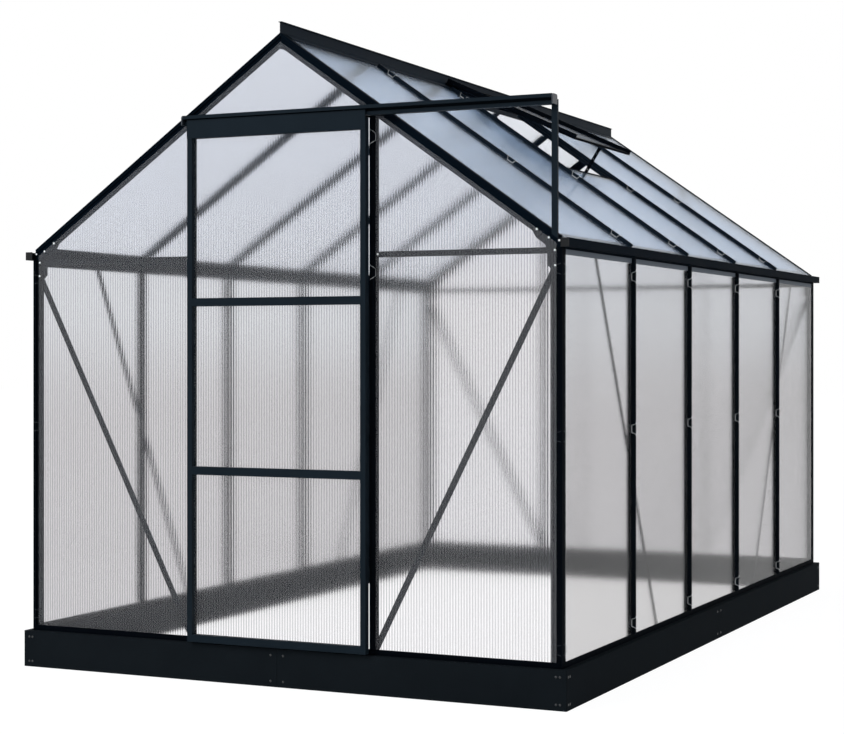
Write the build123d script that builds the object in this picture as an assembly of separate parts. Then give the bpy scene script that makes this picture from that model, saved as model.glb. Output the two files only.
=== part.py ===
from build123d import *
from math import cos, radians, sin, tan
import os

# A small greenhouse. X runs to the right along the front gable, Y runs to the rear, Z is up.
# Sizes are in millimetres. Before the last move, Y = 0 is half way along the frame.

# Frame
frame_width = 1900.0      # over the corner posts
frame_length = 3146.0     # over the corner posts
post_top = 1364.0         # underside of the gutter
roof_pitch = 35.2         # degrees
roof_rise = 29.0          # outer roof plane above the post tops, at the wall
side_bays = 5

# Folded steel plinth
base_height = 120.0
base_margin = 21.0        # how far the plinth stands out past the posts
base_steel = 2.0
base_flange = 50.0
base_foot = 25.0
base_seam = 1.0
bracket_length = 60.0
bracket_steel = 2.0

# Aluminium extrusions
metal = 2.0
glazing_setback = 6.5     # outer face of a post to the back of the sheets
flange_width = 32.0
nose_width = 10.0
nose_height = 16.0
channel_width = 16.0
channel_depth = 12.0
channel_lip = 3.0
groove_width = 2.0        # shallow line along the outer faces of posts and bars
groove_depth = 1.0
corner_depth = 24.5
corner_flange = 28.0
corner_return = 15.5
sill_lip = 18.0
sill_width = 25.0

# Eave beam and gutter
gutter_reach = 24.0       # outer wall of the gutter past the post faces
gutter_height = 27.0
gutter_front = 10.0       # overhang past the front posts
gutter_rear = 10.0
gutter_cap = 2.0
eave_lip = 5.0
eave_skirt = 20.5
eave_seat = 26.0
eave_leg = 24.0
foot_gap = 22.0           # roof bars to the outer wall of the gutter

# Ridge beam
ridge_height = 35.0       # upstand above the outer roof planes
ridge_lip = 12.0
ridge_depth = 34.0        # web below the outer roof planes
ridge_seat = 40.0
ridge_cover = 22.0
ridge_seam = 1.0

# Twin-wall sheets
sheet = 4.0
sheet_play = 0.2          # on each face of a sheet
bar_gap = 2.0             # sheet edge to the nose of a bar
post_gap = 10.0           # sheet edge to the nose of a corner post
rafter_gap = 14.0         # sheet edge to the nose of a gable rafter

# Gable walls
jamb_offset = 328.0       # door jamb centre from the middle of the gable
rail_height = 18.0
rail_depth = 15.0
rail_level = 1346.5       # underside of the rails at eave level
head_drop = 2.0           # underside of the door head below that of the header

# Gussets and braces
gusset_reach = 89.0       # along the rafter, measured level from the post's nose
gusset_lap = 11.0         # shows past the flange of the rafter
gusset_neck = 19.0        # below the post top, where the plate gets its full width
gusset_drop = 51.0        # below the post top
gusset_width = 40.5
gusset_point = 13.0
gusset_nick = 6.0
strap_width = 20.0
strap = 2.0
brace_rise = 2.0          # middle of a gable brace at the post, above the foot of the gusset

# Sliding door header
track_start = 17.0        # left end past the closed door
track_stop = 12.0         # right end short of the post's outer face
track_level = 1782.0
track_height = 30.0
track_depth = 37.5
hood_lip = 11.0
rail_wall = 11.0
rail_distance = 20.5      # back of the running rail in front of the track's back wall
track_cap = 4.0
cap_radius = 7.0
strut_width = 18.5
strut_drop = 13.0         # top of the strut below the top of the header

# Sliding door
door_width = 640.0
door_clearance = 5.3
door_depth = 23.0
door_stile = 18.0
door_rail = 26.0
door_foot_rail = 23.0
door_foot_level = 126.0
door_low_rail_level = 662.0
door_high_rail_level = 1201.0
door_wall = 2.0
plate_lap_height = 16.0   # top plate above the underside of the header
plate_height = 59.0
plate_metal = 2.0
hanger_inset_length = 90.0
hanger_width = 40.0
hanger_metal = 2.0
wheel_radius = 7.0
wheel_width = 6.0
wheel_groove = 1.5
axle_radius = 2.0
axle_clearance = 0.05
guide_length = 40.0
guide_height = 8.0
guide_gap = 0.9           # guides to the lip of the sill

# Roof vent
vent_bay = 2              # counted from the front, starting at 0
vent_length = 563.0       # ridge line to the cross bar, down the slope
vent_open = 10.5          # degrees
vent_stile = 20.0
vent_depth = 20.0
vent_rail_depth = 8.0
vent_seat = 2.0           # lips of the sash under its sheet
vent_lift = 2.0           # underside of the sash above the hinge line
hinge_radius = 4.0
stay_width = 13.0
stay_metal = 3.0
stay_length = 185.0
stay_gap = 1.5            # stay to the cross bar
stay_hole = 4.0
stay_holes = 7

fit = 0.3                 # clearance where two pieces meet end to end

# Derived planes and lines
half_width = frame_width / 2
half_length = frame_length / 2
front = -half_length
pitch = radians(roof_pitch)
apex = post_top + roof_rise + half_width * tan(pitch)
base_x = half_width + base_margin
base_y = half_length + base_margin
glazing_x = half_width - glazing_setback
bar_room = nose_width + 2 * bar_gap
end_room = corner_depth + post_gap
sheet_width = (frame_length - 2 * end_room - (side_bays - 1) * bar_room) / side_bays
bar_pitch = sheet_width + bar_room
first_bar = front + end_room + sheet_width + bar_room / 2
bar_places = [first_bar + bar_pitch * k for k in range(side_bays - 1)]
outer_corner = nose_width + corner_flange
roof_foot = half_width + gutter_reach - metal - nose_height * sin(pitch) - foot_gap
sheet_back = glazing_setback - sheet_play
sheet_front = sheet_back - sheet
sill_floor = base_height + metal
skirt_bottom = post_top - eave_skirt
lip_bottom = post_top - eave_lip
track_left = -(door_width / 2 + track_start)
track_right = half_width - track_stop
head_level = track_level - head_drop
plate_top = track_level + plate_lap_height
door_mid_levels = (door_low_rail_level, door_high_rail_level)
front_most = -(nose_height - glazing_setback) - track_depth
shift_y = -((front + front_most) + (half_length + max(base_margin, gutter_rear))) / 2


def block(x0, x1, y0, y1, z0, z1):
    """A box between two corners."""
    size = Box(x1 - x0, y1 - y0, z1 - z0, align=(Align.MIN, Align.MIN, Align.MIN))
    return Pos(x0, y0, z0) * size


def rect(x0, x1, y0, y1):
    """A flat rectangle between two corners."""
    return Pos((x0 + x1) / 2, (y0 + y1) / 2) * Rectangle(x1 - x0, y1 - y0)


def along_y(points, y0, y1):
    """A shape drawn in X and Z, pushed from y0 to y1."""
    face = make_face(Polyline(*[(x, y0, z) for x, z in points], close=True))
    return extrude(face, amount=y1 - y0, dir=(0, 1, 0))


def along_x(points, x0, x1):
    """A shape drawn in Y and Z, pushed from x0 to x1."""
    face = make_face(Polyline(*[(x0, y, z) for y, z in points], close=True))
    return extrude(face, amount=x1 - x0, dir=(1, 0, 0))


def left_of(shape):
    """The same piece on the left wall or slope."""
    return mirror(shape, about=Plane.YZ)


def rear_of(shape):
    """The same piece on the rear gable."""
    return mirror(shape, about=Plane.XZ)


def roof_z(x, depth):
    """Height of the plane that lies a given depth under the outer roof plane, at x."""
    return apex - depth / cos(pitch) - abs(x) * tan(pitch)


def roof_plane(y, depth):
    """Local frame under the right slope: x across the bars, y out of the roof, z down the slope."""
    origin = (-depth * sin(pitch), y, apex - depth * cos(pitch))
    return Plane(origin=origin, x_dir=(0, 1, 0), z_dir=(cos(pitch), 0, -sin(pitch)))


def slope_at(x, depth):
    """Distance down the slope, from the ridge line, of the point at x on a plane under the roof."""
    return (x + depth * sin(pitch)) / cos(pitch)


def under_roof(depth, y0, y1):
    """Everything under the plane that lies a given depth below both roof slopes."""
    wide = half_width * 1.2
    low = -base_height
    points = [(-wide, low), (wide, low), (wide, roof_z(wide, depth)), (0, roof_z(0, depth)),
              (-wide, roof_z(wide, depth))]
    return along_y(points, y0, y1)


def nose_section():
    """Hollow rib that stands out between two sheets, with a shallow line along its face."""
    outer = rect(-nose_width / 2, nose_width / 2, 0, nose_height)
    core = rect(-nose_width / 2 + metal, nose_width / 2 - metal, metal, nose_height - metal)
    line = rect(-groove_width / 2, groove_width / 2, nose_height - groove_depth, nose_height)
    return outer - core - line


def flange_section():
    """Flat flange that the sheets lie on."""
    return rect(-flange_width / 2, flange_width / 2, -metal, 0)


def channel_section():
    """Open bolt channel on the inner side of a bar."""
    half = channel_width / 2
    outer = rect(-half, half, -metal - channel_depth, -metal)
    core = rect(-half + metal, half - metal, -channel_depth, -metal)
    mouth = rect(-half + channel_lip + metal, half - channel_lip - metal,
                 -metal - channel_depth, -channel_depth)
    return outer - core - mouth


def push(section, plane, start, end):
    """A section pushed along the z axis of a plane, from start to end."""
    return extrude(plane.offset(start) * section, amount=end - start)


def glazing_bar(plane, nose, flange, channel):
    """Bar made of a nose, a flange and a bolt channel, each over its own stretch."""
    bar = push(nose_section(), plane, *nose)
    bar += push(flange_section(), plane, *flange)
    bar += push(channel_section(), plane, *channel)
    return bar


def corner_box():
    """Hollow corner of a post or gable rafter: x into the gable, y towards the rear."""
    outer = rect(0, nose_width, 0, corner_depth)
    core = rect(metal, nose_width - metal, metal, corner_depth - metal)
    face_line = rect((nose_width - groove_width) / 2, (nose_width + groove_width) / 2, 0, groove_depth)
    side_line = rect(0, groove_depth, (corner_depth - groove_width) / 2, (corner_depth + groove_width) / 2)
    return outer - core - face_line - side_line


def corner_flanges():
    """Flange behind the gable sheet and flange behind the side or roof sheet."""
    gable = rect(nose_width, outer_corner, glazing_setback, glazing_setback + metal)
    side = rect(glazing_setback, glazing_setback + metal, corner_depth, corner_depth + corner_return)
    return gable, side


def base_ring():
    """The whole plinth: upright face, top flange and foot, all round."""
    outer = Rectangle(2 * base_x, 2 * base_y)
    wall = outer - Rectangle(2 * (base_x - base_steel), 2 * (base_y - base_steel))
    top = outer - Rectangle(2 * (base_x - base_flange), 2 * (base_y - base_flange))
    foot = outer - Rectangle(2 * (base_x - base_foot), 2 * (base_y - base_foot))
    ring = extrude(wall, amount=base_height)
    ring += Pos(0, 0, base_height - base_steel) * extrude(top, amount=base_steel)
    ring += extrude(foot, amount=base_steel)
    return ring


def base_lengths(ring, points):
    """The two lengths of one side of the plinth, mitred at the corners and parted in the middle."""
    sector = extrude(make_face(Polyline(*points, close=True)), amount=base_height)
    side = ring & sector
    wide = abs(points[1][0] - points[0][0]) > abs(points[1][1] - points[0][1])
    if wide:
        seam = block(-base_seam / 2, base_seam / 2, -base_y, base_y, 0, base_height)
    else:
        seam = block(-base_x, base_x, -base_seam / 2, base_seam / 2, 0, base_height)
    return side - seam


def plinth():
    """The four sides of the plinth."""
    ring = base_ring()
    reach = base_flange + metal
    mitre = base_seam / 2
    front_side = [(-base_x + mitre, -base_y), (base_x - mitre, -base_y),
                  (base_x - mitre - reach, -base_y + reach), (-base_x + mitre + reach, -base_y + reach)]
    right_side = [(base_x, -base_y + mitre), (base_x, base_y - mitre),
                  (base_x - reach, base_y - mitre - reach), (base_x - reach, -base_y + mitre + reach)]
    front_board = base_lengths(ring, front_side)
    right_board = base_lengths(ring, right_side)
    return {"base_front": front_board, "base_rear": rear_of(front_board),
            "base_right": right_board, "base_left": left_of(right_board)}


def base_brackets():
    """Joint plates behind the seams and angle plates in the corners."""
    z0 = base_steel + fit
    z1 = base_height - base_steel - fit
    inner_x = base_x - base_steel
    inner_y = base_y - base_steel
    joint = block(-bracket_length / 2, bracket_length / 2, -inner_y, -inner_y + bracket_steel, z0, z1)
    side_joint = block(inner_x - bracket_steel, inner_x, -bracket_length / 2, bracket_length / 2, z0, z1)
    angle = block(inner_x - bracket_length, inner_x, -inner_y, -inner_y + bracket_steel, z0, z1)
    angle += block(inner_x - bracket_steel, inner_x, -inner_y, -inner_y + bracket_length, z0, z1)
    corners = [angle, left_of(angle), rear_of(angle), rear_of(left_of(angle))]
    return [joint, rear_of(joint), side_joint, left_of(side_joint)] + corners


def sill(length):
    """Angle on the plinth, with the lip that hides the foot of the sheets. Local x runs inward."""
    lip = block(0, metal, 0, length, base_height, base_height + sill_lip)
    floor = block(0, sill_width, 0, length, base_height, sill_floor)
    return lip + floor


def sills_gable():
    """Front and rear sills, between the corner posts."""
    run = 2 * (half_width - nose_width - fit)
    angle = Pos(run / 2, front, 0) * (Rot(0, 0, 90) * sill(run))
    return [angle, rear_of(angle)]


def sills_side():
    """Left and right sills, between the front and rear posts."""
    start = front + sill_width + fit
    run = -2 * start
    angle = Pos(-half_width, start, 0) * sill(run)
    return [angle, left_of(angle)]


def corner_post():
    """Front right corner post."""
    plane = Plane(origin=(half_width, front, post_top), x_dir=(-1, 0, 0), z_dir=(0, 0, -1))
    gable, side = corner_flanges()
    post = push(corner_box(), plane, 0, post_top - base_height)
    post += push(gable, plane, 0, post_top - sill_floor)
    post += push(side, plane, eave_skirt + fit, post_top - sill_floor)
    return post


def corner_posts():
    post = corner_post()
    return [post, left_of(post), rear_of(post), rear_of(left_of(post))]


def wall_bar(y):
    """Upright bar of the right wall, from the sill to the eave beam."""
    plane = Plane(origin=(glazing_x, y, 0), x_dir=(0, -1, 0), z_dir=(0, 0, 1))
    nose = (base_height + sill_lip + fit, lip_bottom - fit)
    body = (sill_floor, skirt_bottom - fit)
    return glazing_bar(plane, nose, body, body)


def gable_bar():
    """Upright bar of the front gable, from the sill up to the rafter, right of the middle."""
    plane = Plane(origin=(jamb_offset, front + glazing_setback, 0), x_dir=(-1, 0, 0), z_dir=(0, 0, 1))
    nose = push(nose_section(), plane, base_height + sill_lip + fit, apex)
    nose &= under_roof(nose_width + fit, front - nose_height, front + nose_height)
    body = push(flange_section() + channel_section(), plane, sill_floor, apex)
    body &= under_roof(outer_corner + fit, front, front + corner_depth)
    return nose + body


def eave_beam():
    """Right eave beam: gutter, skirt behind the sheets, and the inclined seat of the roof bars."""
    y0 = front + corner_depth + fit
    y1 = -y0
    wall_in = glazing_x - metal
    outer = half_width + gutter_reach
    gutter_top = post_top + gutter_height
    gutter_y0 = front - gutter_front
    gutter_y1 = half_length + gutter_rear - gutter_cap
    gutter = block(wall_in, outer, gutter_y0 + gutter_cap, gutter_y1, post_top, post_top + metal)
    gutter += block(outer - metal, outer, gutter_y0 + gutter_cap, gutter_y1, post_top, gutter_top)
    under_bars = glazing_setback + metal
    low = under_bars + metal
    seat_in = glazing_x - eave_seat
    wall_top = roof_z(wall_in, under_bars)
    beam = block(wall_in, glazing_x, y0, y1, skirt_bottom, roof_z(glazing_x, under_bars))
    beam += block(half_width - metal, half_width, y0, y1, lip_bottom, post_top)
    seat = [(seat_in, roof_z(seat_in, under_bars)), (glazing_x, roof_z(glazing_x, under_bars)),
            (glazing_x, roof_z(glazing_x, low)), (seat_in, roof_z(seat_in, low))]
    beam += along_y(seat, y0, y1)
    leg_out = glazing_x - metal - channel_depth
    leg_top = roof_z(leg_out, low)
    beam += block(leg_out, leg_out + metal, y0, y1, wall_top - eave_leg - metal, leg_top)
    return gutter + beam


def gutter_cap_pair():
    """Closed ends of the right gutter."""
    wall_in = half_width - metal
    outer = half_width + gutter_reach
    top = post_top + gutter_height
    y0 = front - gutter_front
    y1 = half_length + gutter_rear - gutter_cap
    ends = [block(wall_in, outer, y0, y0 + gutter_cap, post_top, top),
            block(wall_in, outer, y1, y1 + gutter_cap, post_top, top)]
    return ends


def gable_rafter():
    """Front right gable rafter, from the ridge to the corner post."""
    plane = Plane(origin=(0, front, apex), x_dir=(-sin(pitch), 0, -cos(pitch)),
                  z_dir=(cos(pitch), 0, -sin(pitch)))
    reach = (half_width + outer_corner) / cos(pitch)
    gable, side = corner_flanges()
    rafter = push(corner_box(), plane, -outer_corner, reach)
    rafter += push(gable, plane, -outer_corner, reach)
    rafter += push(side, plane, -outer_corner, reach)
    foot = glazing_x - metal - fit
    room = block(metal / 2 + fit, foot, front, front + corner_depth + corner_return, post_top, apex)
    side_end = seat_clear_x()
    clear = block(side_end, foot, front + corner_depth, front + corner_depth + corner_return,
                  post_top, apex)
    return (rafter & room) - clear


def seat_clear_x():
    """Where the roof flange of a gable rafter stops short of the eave beam."""
    return glazing_x - eave_seat - fit


def roof_bar(y):
    """Bar of the right slope, from the ridge to the gutter."""
    top_x = ridge_seat + fit
    plane = roof_plane(y, glazing_setback)
    nose = (slope_at(ridge_cover + fit, glazing_setback), slope_at(roof_foot, glazing_setback))
    flange = (slope_at(top_x, glazing_setback + metal), slope_at(glazing_x, glazing_setback))
    channel = (slope_at(top_x + channel_depth, glazing_setback),
               slope_at(glazing_x - eave_seat - channel_depth, glazing_setback))
    return glazing_bar(plane, nose, flange, channel)


def ridge():
    """Front length of the ridge beam: web with a top lip, seats and cover lips on both sides."""
    y1 = -ridge_seam / 2
    half = metal / 2
    top = apex + ridge_height
    behind = front + glazing_setback + metal
    beam = block(-half, half, front, y1, apex - nose_width, top)
    beam += block(-half, half, behind, y1, apex - ridge_depth, top)
    beam += block(-ridge_lip / 2, ridge_lip / 2, front, y1, top - metal, top)
    y0 = front + corner_depth + corner_return + fit
    low = glazing_setback
    seat = [(0, roof_z(0, low)), (ridge_seat, roof_z(ridge_seat, low)),
            (ridge_seat, roof_z(ridge_seat, low + metal)), (0, roof_z(0, low + metal))]
    cover = [(0, roof_z(0, 0)), (ridge_cover, roof_z(ridge_cover, 0)),
             (ridge_cover, roof_z(ridge_cover, sheet_front - sheet_play)),
             (0, roof_z(0, sheet_front - sheet_play))]
    right = along_y(seat, y0, y1) + along_y(cover, y0, y1)
    return beam + right + left_of(right)


def gusset():
    """Plate that ties the front right rafter to its post, behind their flanges."""
    x1 = half_width - nose_width - fit
    x0 = x1 - gusset_reach
    knee = x1 - gusset_width
    bottom = post_top - gusset_drop
    top_depth = nose_width + fit
    tip = x0 + gusset_point
    bend = knee - gusset_nick
    points = [(x0, roof_z(x0, top_depth)), (x0, roof_z(x0, outer_corner)),
              (tip, roof_z(tip, outer_corner + gusset_lap)), (bend, roof_z(bend, outer_corner + gusset_lap)),
              (knee, post_top - gusset_neck), (knee, bottom), (knee + gusset_point, bottom - gusset_point),
              (x1, bottom - gusset_point), (x1, roof_z(x1, top_depth))]
    d0 = front + glazing_setback + metal
    plate = along_y(points, d0, d0 + metal)
    foot = glazing_x - metal - channel_depth - fit
    beam = block(foot, half_width, d0 - metal, d0 + 2 * metal, skirt_bottom - fit, apex)
    return plate - beam


def strap_between(a, b):
    """Flat strap in X and Z between two points, as a face list for a push along Y."""
    run = Vector(b[0] - a[0], 0, b[1] - a[1])
    side = Vector(-run.Z, 0, run.X).normalized() * (strap_width / 2)
    corners = [Vector(a[0], 0, a[1]) + side, Vector(b[0], 0, b[1]) + side,
               Vector(b[0], 0, b[1]) - side, Vector(a[0], 0, a[1]) - side]
    return [(c.X, c.Z) for c in corners]


def gable_brace():
    """Strap from the foot of the right door jamb to the foot of the gusset."""
    inner = jamb_offset + channel_width / 2 + fit
    outer = half_width - nose_width - fit
    low = (inner, sill_floor + strap_width)
    high = (outer - strap_width / 2, post_top - gusset_drop + brace_rise)
    d0 = front + glazing_setback + metal
    body = along_y(strap_between(low, high), d0, d0 + strap)
    top = post_top - gusset_drop - gusset_point - fit
    room = block(inner, outer, d0, d0 + strap, sill_floor + fit, top)
    return body & room


def wall_brace():
    """Strap behind the bars of the right wall, from the eave in bay one to the sill in bay two."""
    x1 = glazing_x - metal - channel_depth
    y_high = bar_places[0] - bar_pitch / 2
    y_low = bar_places[0] + bar_pitch / 2
    high = (y_high, post_top)
    low = (y_low, base_height)
    points = strap_between(low, high)
    body = along_x(points, x1 - strap, x1)
    room = block(x1 - strap, x1, front, half_length, sill_floor, post_top)
    return body & room


def rail(x0, x1, level):
    """Angle rail behind the gable sheets."""
    d0 = front + glazing_setback
    face = block(x0, x1, d0, d0 + metal, level, level + rail_height)
    leg = block(x0, x1, d0, d0 + rail_depth, level, level + metal)
    return (face + leg) & under_roof(outer_corner + fit, d0, d0 + rail_depth)


def gable_rails():
    """Rail of the right bay at eave level."""
    x0 = jamb_offset + flange_width / 2 + fit
    x1 = half_width - outer_corner - fit
    right = block(x0, x1, front + glazing_setback, front + glazing_setback + metal,
                  rail_level, rail_level + rail_height)
    leg_end = half_width - nose_width - gusset_width - gusset_nick - 2 * fit
    leg = block(x0, leg_end, front + glazing_setback, front + glazing_setback + rail_depth,
                rail_level, rail_level + metal)
    return right + leg


def middle_rail(level):
    """Rail between the two bars beside the middle bay."""
    x = jamb_offset - flange_width / 2 - fit
    return rail(-x, x, level)


def bay_sheet(x0, x1, z0, gap):
    """Sheet of a gable bay: upright edges at x0 and x1, foot at z0, top along the rafters."""
    slab = block(x0, x1, front + sheet_front, front + sheet_back, z0, apex)
    return slab & under_roof(gap, front, front + sheet_back)


def front_sheets():
    edge = jamb_offset + nose_width / 2 + bar_gap
    outer = half_width - nose_width - post_gap
    gap = nose_width + rafter_gap
    right = bay_sheet(edge, outer, sill_floor + fit, gap)
    inner = jamb_offset - nose_width / 2 - bar_gap
    top = bay_sheet(-inner, inner, head_level, gap)
    return [right, left_of(right), top]


def rear_sheets():
    edge = jamb_offset + nose_width / 2 + bar_gap
    outer = half_width - nose_width - post_gap
    gap = nose_width + rafter_gap
    right = rear_of(bay_sheet(edge, outer, sill_floor + fit, gap))
    inner = jamb_offset - nose_width / 2 - bar_gap
    middle = rear_of(bay_sheet(-inner, inner, sill_floor + fit, gap))
    return [right, left_of(right), middle]


def bay_edges():
    """Start and end of the sheet in each side bay."""
    starts = [front + end_room] + [y + bar_room / 2 for y in bar_places]
    return [(y, y + sheet_width) for y in starts]


def wall_sheets():
    """Sheets of the right wall."""
    x0 = half_width - sheet_back
    x1 = half_width - sheet_front
    return [block(x0, x1, y0, y1, sill_floor + fit, post_top - fit) for y0, y1 in bay_edges()]


def roof_slab(y0, y1, x0, x1):
    """Sheet of the right slope between two level lines, given by x."""
    points = [(x0, roof_z(x0, sheet_front)), (x1, roof_z(x1, sheet_front)),
              (x1, roof_z(x1, sheet_back)), (x0, roof_z(x0, sheet_back))]
    return along_y(points, y0, y1)


def roof_sheets(with_vent):
    """Sheets of a slope. The bay under the vent has a short sheet below the cross bar."""
    top = metal / 2 + bar_gap
    slabs = []
    for index, (y0, y1) in enumerate(bay_edges()):
        start = vent_length * cos(pitch) + metal + fit if with_vent and index == vent_bay else top
        slabs.append(roof_slab(y0, y1, start, roof_foot))
    return slabs


def door_track():
    """Header of the sliding door: back wall, top, hood lip, floor and running rail."""
    back = front - (nose_height - glazing_setback)
    y0 = back - track_depth
    x0 = track_left + track_cap
    x1 = track_right - track_cap
    top = track_level + track_height
    rail_y = back - metal - rail_distance
    body = block(x0, x1, back - metal, back, track_level, top)
    body += block(x0, x1, y0, back, top - metal, top)
    body += block(x0, x1, y0, y0 + metal, top - hood_lip, top)
    body += block(x0, x1, rail_y, back, track_level, track_level + metal)
    body += block(x0, x1, rail_y, rail_y + metal, track_level, track_level + rail_wall)
    return body


def track_caps():
    """Closed ends of the header, rounded along their top."""
    back = front - (nose_height - glazing_setback)
    middle = ((back - track_depth + back) / 2, track_level + track_height / 2)
    face = RectangleRounded(track_depth, track_height, cap_radius)
    square = Pos(0, -track_height / 2 + cap_radius / 2) * Rectangle(track_depth, cap_radius)
    caps = []
    for x in (track_left, track_right - track_cap):
        plane = Plane(origin=(x, *middle), x_dir=(0, 1, 0), z_dir=(1, 0, 0))
        caps.append(extrude(plane * (face + square), amount=track_cap))
    return caps


def track_strut():
    """Angle that carries the free end of the header, with its foot cut along the rafter."""
    back = front - (nose_height - glazing_setback)
    x0 = track_right - strut_width
    top = track_level + track_height - strut_drop
    face = block(x0, track_right, back, back + metal, post_top, top)
    leg = block(track_right - metal, track_right, back, front, post_top, top)
    return (face + leg) - under_roof(nose_width, back, front)


def door_faces():
    """Front and back planes of the door leaf."""
    back = front - (nose_height - glazing_setback) - door_clearance
    return back - door_depth, back


def door_top():
    return track_level - door_clearance


def door_pocket():
    """Front and back of the groove that holds the sheets, close to the back of the leaf."""
    _, y1 = door_faces()
    back = y1 - door_wall
    return back - sheet - 2 * sheet_play, back


def door_stile_piece():
    """Right stile: hollow box with a groove for the sheet."""
    y0, y1 = door_faces()
    x1 = door_width / 2
    x0 = x1 - door_stile
    box = block(x0, x1, y0, y1, door_foot_level, door_top())
    core = block(x0 + door_wall + sheet, x1 - door_wall, y0 + door_wall, y1 - door_wall,
                 door_foot_level, door_top())
    groove = block(x0, x0 + sheet, *door_pocket(), door_foot_level, door_top())
    return box - core - groove


def door_rail_levels():
    """Underside and top of the bottom rail and of the two middle rails."""
    middle = [(level, level + door_rail) for level in door_mid_levels]
    return [(door_foot_level, door_foot_level + door_foot_rail)] + middle


def door_rails():
    """Bottom rail and the two middle rails, each with grooves for the sheets."""
    y0, y1 = door_faces()
    x = door_width / 2 - door_stile - fit
    rails = []
    for level, top in door_rail_levels():
        bar = block(-x, x, y0, y1, level, top)
        core = block(-x, x, y0 + door_wall, y1 - door_wall, level + door_wall + sheet,
                     top - door_wall - sheet)
        grooves = block(-x, x, *door_pocket(), top - sheet, top)
        if level != door_foot_level:
            grooves += block(-x, x, *door_pocket(), level, level + sheet)
        rails.append(bar - core - grooves)
    return rails


def door_plate():
    """Top plate, fixed on the front of the stiles and folded back under the header."""
    y0, y1 = door_faces()
    x = door_width / 2
    plate = block(-x, x, y0 - plate_metal, y0, plate_top - plate_height, plate_top)
    inner = x - door_stile - fit
    top = door_top()
    shelf = block(-inner, inner, y0, y1, top - plate_metal, top)
    back = block(-inner, inner, y1 - plate_metal, y1, plate_top - plate_height, top)
    return plate + shelf + back


def door_sheets():
    """The three sheets of the door, held in the grooves of its frame."""
    x = door_width / 2 - door_stile + sheet - fit
    pocket_front, pocket_back = door_pocket()
    lows = [top - sheet + fit for _, top in door_rail_levels()]
    tops = [level + sheet - fit for level in door_mid_levels] + [door_top() - plate_metal - fit]
    return [block(-x, x, pocket_front + sheet_play, pocket_back - sheet_play, low, top)
            for low, top in zip(lows, tops)]


def hanger_places():
    reach = door_width / 2 - hanger_inset_length
    return (-reach, reach)


def axle_level():
    return track_level + rail_wall + wheel_radius - wheel_groove + fit


def rail_middle():
    """Middle of the running rail, in Y."""
    back = front - (nose_height - glazing_setback)
    return back - metal - rail_distance + metal / 2


def door_hangers():
    """Small plates behind the top plate, each with the pin of a wheel."""
    y0, _ = door_faces()
    level = axle_level()
    pieces = []
    for x in hanger_places():
        plate = block(x - hanger_width / 2, x + hanger_width / 2, y0, y0 + hanger_metal,
                      door_top() + fit, level + wheel_radius - metal)
        end = rail_middle() + wheel_width / 2 + metal
        pin = Pos(x, y0, level) * Rot(-90, 0, 0) * Cylinder(
            axle_radius, end - y0, align=(Align.CENTER, Align.CENTER, Align.MIN))
        pieces.append(plate + pin)
    return pieces


def door_wheels():
    """Grooved wheels that run on the rail of the header."""
    half = wheel_width / 2
    flat = metal / 2 + fit
    level = axle_level()
    bore = axle_radius + axle_clearance
    waist = wheel_radius - wheel_groove
    outline = [(bore, -half), (wheel_radius, -half), (waist, -flat), (waist, flat), (wheel_radius, half),
               (bore, half)]
    face = make_face(Polyline(*[(r, a, 0) for r, a in outline], close=True))
    wheel = revolve(face, axis=Axis.Y)
    return [Pos(x, rail_middle(), level) * wheel for x in hanger_places()]


def door_guides():
    """Blocks at the foot of the door that slide along the lip of the sill."""
    _, y1 = door_faces()
    pieces = []
    for x in hanger_places():
        pieces.append(block(x - guide_length / 2, x + guide_length / 2, y1, front - guide_gap,
                            door_foot_level + metal, door_foot_level + metal + guide_height))
    return pieces


def vent_frame_plane():
    """Local frame of the open sash: x across, y out of the sash, z down it, from the hinge line."""
    out = Vector(sin(pitch), 0, cos(pitch))
    down = Vector(cos(pitch), 0, -sin(pitch))
    hinge_x = metal / 2 + hinge_radius + fit
    rest = (hinge_radius + fit) / cos(pitch)
    hinge = Vector(hinge_x, 0, roof_z(hinge_x, 0) + rest)
    turn = radians(vent_open)
    z_dir = down * cos(turn) + out * sin(turn)
    return Plane(origin=hinge, x_dir=(0, 1, 0), z_dir=z_dir)


def vent_span():
    """Y of the two bars beside the vent."""
    return bar_places[vent_bay - 1], bar_places[vent_bay]


def sash_box(plane, y0, y1, low, high, start, end):
    """A box in the local frame of the sash."""
    return push(rect(y0, y1, low, high), plane, start, end)


def vent_sash():
    """Open sash: hinge bar, two stiles, top rail and bottom rail."""
    plane = vent_frame_plane()
    y0, y1 = vent_span()
    low = vent_lift
    high = vent_lift + vent_depth
    rail_high = vent_lift + vent_rail_depth
    length = vent_length
    side = nose_width
    sash = sash_box(plane, y0, y1, low, rail_high, 0, length)
    sash -= sash_box(plane, y0 + vent_stile, y1 - vent_stile, low, rail_high, vent_stile, length - vent_stile)
    sash += sash_box(plane, y0, y0 + side, low, high, 0, length)
    sash += sash_box(plane, y1 - side, y1, low, high, 0, length)
    bead = Pos(0, y0, 0) * Rot(-90, 0, 0) * Cylinder(
        hinge_radius, y1 - y0, align=(Align.CENTER, Align.CENTER, Align.MIN))
    sash += Pos(plane.origin) * bead
    slot_low = low + vent_seat - sheet_play
    slot = sash_box(plane, y0 + vent_stile - sheet, y1 - vent_stile + sheet, slot_low,
                    slot_low + sheet + 2 * sheet_play, vent_stile - sheet, length - vent_stile + sheet)
    return sash - slot


def vent_sheet():
    plane = vent_frame_plane()
    y0, y1 = vent_span()
    low = vent_lift + vent_seat
    edge = vent_stile - sheet + fit
    return sash_box(plane, y0 + edge, y1 - edge, low, low + sheet, edge, vent_length - edge)


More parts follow.
